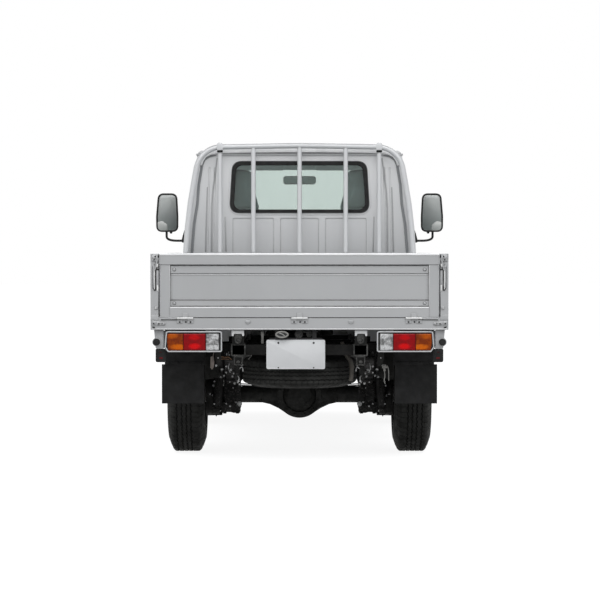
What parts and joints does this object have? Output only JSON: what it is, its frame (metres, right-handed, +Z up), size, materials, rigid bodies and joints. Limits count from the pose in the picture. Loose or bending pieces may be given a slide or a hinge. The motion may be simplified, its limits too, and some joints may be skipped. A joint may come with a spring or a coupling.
{
  "type": "light cab-over truck",
  "caption": "Small forward-control truck with a steel drop-side load bed, a tubular guard behind the cab, a full-width tailgate, opening doors and steered front wheels.",
  "frame": {"origin": "centre of the overall box on the ground", "axes": "+X to the truck's right, +Y forward, +Z up"},
  "size_m": [2.124, 4.2652, 1.9375],
  "materials": {
    "paint_silver": "gloss metallic",
    "paint_frame": "satin black chassis paint",
    "cast_dark": "dusty",
    "tyre": "matt rubber",
    "wheel_steel": "satin silver paint",
    "spring_steel": "dark steel",
    "galvanised": "dull zinc",
    "rubber": "matt",
    "black_plastic": "grained",
    "lamp_bezel": "satin silver",
    "lens_amber": "clear moulded",
    "lens_red": "clear moulded",
    "lens_clear": "clear moulded",
    "plate": "blank, satin",
    "glass": "green tint",
    "mirror": "polished",
    "interior": "grained",
    "seat_cloth": "woven"
  },
  "bodies": {
    "chassis": {"chassis_frame": "paint_frame", "rear_axle": "cast_dark", "leaf_springs": "spring_steel", "shock_absorbers": "paint_frame", "propeller_shaft": "cast_dark", "engine": "cast_dark", "fuel_tank": "paint_frame", "exhaust": "galvanised", "spare_tyre": "tyre", "spare_rim": "wheel_steel", "front_suspension": "paint_frame", "bed_deck": "paint_silver", "guard_frame": "paint_silver", "lamp_housings": "lamp_bezel", "lens_amber": "lens_amber", "lens_red": "lens_red", "lens_clear": "lens_clear", "mud_flaps": "rubber", "number_plate": "plate", "cab_floor": "paint_silver", "cab_back": "paint_silver", "cab_sides": "paint_silver", "cab_roof": "paint_silver", "cab_front": "paint_silver", "cab_glass": "glass", "window_seals": "rubber", "bumper": "paint_silver", "headlamps": "lens_clear", "dashboard": "interior", "seats": "seat_cloth", "interior_mirror": "black_plastic"},
    "tailgate": {"tailgate": "paint_silver"},
    "side_gate_left": {"side_gate_left": "paint_silver"},
    "side_gate_right": {"side_gate_right": "paint_silver"},
    "door_left": {"door_left": "paint_silver", "door_glass_left": "glass", "door_mirror_left": "black_plastic"},
    "door_right": {"door_right": "paint_silver", "door_glass_right": "glass", "door_mirror_right": "black_plastic"},
    "knuckle_left": {"knuckle_left": "cast_dark"},
    "knuckle_right": {"knuckle_right": "cast_dark"},
    "steering_wheel": {"steering_wheel": "black_plastic"},
    "rear_wheel_left": {"rear_tyre_left": "tyre", "rear_rim_left": "wheel_steel"},
    "front_wheel_left": {"front_tyre_left": "tyre", "front_rim_left": "wheel_steel"},
    "rear_wheel_right": {"rear_tyre_right": "tyre", "rear_rim_right": "wheel_steel"},
    "front_wheel_right": {"front_tyre_right": "tyre", "front_rim_right": "wheel_steel"}
  },
  "joints": [
    {"name": "tailgate_hinge", "type": "hinge", "parent": "chassis", "child": "tailgate", "pos_m": [0, -2.131, 0.829], "axis": [1, 0, 0], "range_deg": [0, 180]},
    {"name": "side_gate_left_hinge", "type": "hinge", "parent": "chassis", "child": "side_gate_left", "pos_m": [-0.8435, -0.9, 0.829], "axis": [0, -1, 0], "range_deg": [0, 180]},
    {"name": "side_gate_right_hinge", "type": "hinge", "parent": "chassis", "child": "side_gate_right", "pos_m": [0.8435, -0.9, 0.829], "axis": [0, 1, 0], "range_deg": [0, 180]},
    {"name": "door_left_hinge", "type": "hinge", "parent": "chassis", "child": "door_left", "pos_m": [-0.8215, 1.73775, 0.9], "axis": [0, 0, -1], "range_deg": [0, 65]},
    {"name": "door_right_hinge", "type": "hinge", "parent": "chassis", "child": "door_right", "pos_m": [0.8215, 1.73775, 0.9], "axis": [0, 0, 1], "range_deg": [0, 65]},
    {"name": "steer_left", "type": "hinge", "parent": "chassis", "child": "knuckle_left", "pos_m": [-0.61, 0.985, 0.33], "axis": [0, 0, 1], "range_deg": [-35, 35]},
    {"name": "steer_right", "type": "hinge", "parent": "chassis", "child": "knuckle_right", "pos_m": [0.61, 0.985, 0.33], "axis": [0, 0, 1], "range_deg": [-35, 35]},
    {"name": "steering_wheel_turn", "type": "hinge", "parent": "chassis", "child": "steering_wheel", "pos_m": [0.42, 1.54027, 1.06741], "axis": [0, -0.5736, 0.8192], "range_deg": [-525, 525]},
    {"name": "rear_wheel_left_spin", "type": "hinge", "parent": "chassis", "child": "rear_wheel_left", "pos_m": [-0.673, -1.235, 0.342], "axis": [1, 0, 0], "continuous": true},
    {"name": "rear_wheel_right_spin", "type": "hinge", "parent": "chassis", "child": "rear_wheel_right", "pos_m": [0.673, -1.235, 0.342], "axis": [1, 0, 0], "continuous": true},
    {"name": "front_wheel_left_spin", "type": "hinge", "parent": "knuckle_left", "child": "front_wheel_left", "pos_m": [-0.735, 0.985, 0.33], "axis": [1, 0, 0], "continuous": true},
    {"name": "front_wheel_right_spin", "type": "hinge", "parent": "knuckle_right", "child": "front_wheel_right", "pos_m": [0.735, 0.985, 0.33], "axis": [1, 0, 0], "continuous": true}
  ],
  "couplings": [
    {"joint": "steer_right", "follows": "steer_left", "ratio": 1},
    {"joint": "steering_wheel_turn", "follows": "steer_left", "ratio": 15}
  ]
}
